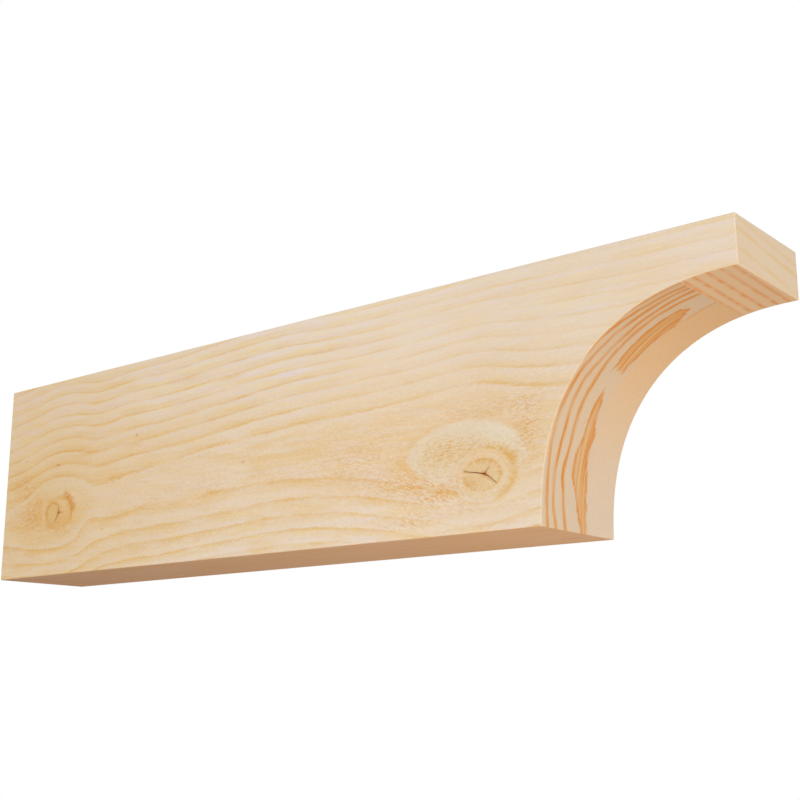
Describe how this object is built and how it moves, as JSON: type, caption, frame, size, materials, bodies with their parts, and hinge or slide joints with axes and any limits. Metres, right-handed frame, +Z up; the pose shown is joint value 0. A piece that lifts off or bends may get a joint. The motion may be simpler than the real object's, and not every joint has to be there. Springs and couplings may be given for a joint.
{
  "type": "rafter tail",
  "caption": "Timber rafter tail of rectangular section, square at the back end, with a deep hollow cove cut under its free end.",
  "frame": {"origin": "on the underside, in the middle of the length and of the width", "axes": "+X along the timber towards the coved tip, +Z up towards the face that carries the roof, +Y across the width"},
  "size_m": [0.762, 0.095, 0.184],
  "materials": {
    "softwood": "bare planed and sanded pale softwood, knots and growth rings showing, no varnish or paint"
  },
  "bodies": {
    "root": {"rafter_tail": "softwood"}
  },
  "joints": []
}
